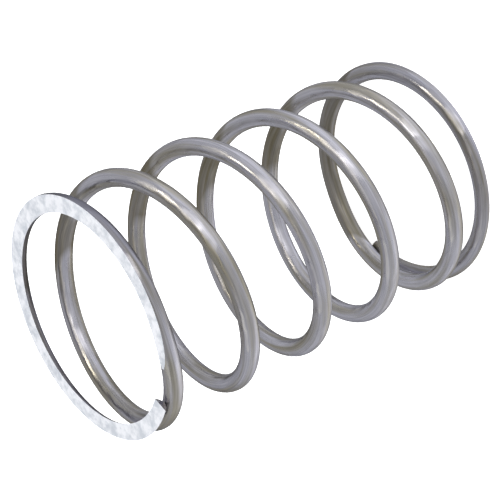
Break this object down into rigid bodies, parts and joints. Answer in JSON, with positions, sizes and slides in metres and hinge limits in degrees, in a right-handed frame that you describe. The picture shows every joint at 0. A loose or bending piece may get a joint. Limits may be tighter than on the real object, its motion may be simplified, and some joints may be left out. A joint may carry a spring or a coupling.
{
  "type": "compression spring",
  "caption": "Cylindrical compression spring of round steel wire, wound right-handed, with closed ends ground flat.",
  "frame": {"origin": "middle of the bottom end face, on the axis of the coil", "axes": "+Z along the axis of the coil, from the bottom end to the top end; the wire's bottom cut end is on +X"},
  "size_m": [0.027, 0.027, 0.0455],
  "materials": {
    "spring_wire": "drawn steel wire, semi-gloss grey with fine lines along it, bright and bare where the ends are ground"
  },
  "bodies": {
    "root": {"coil_spring": "spring_wire"}
  },
  "joints": []
}
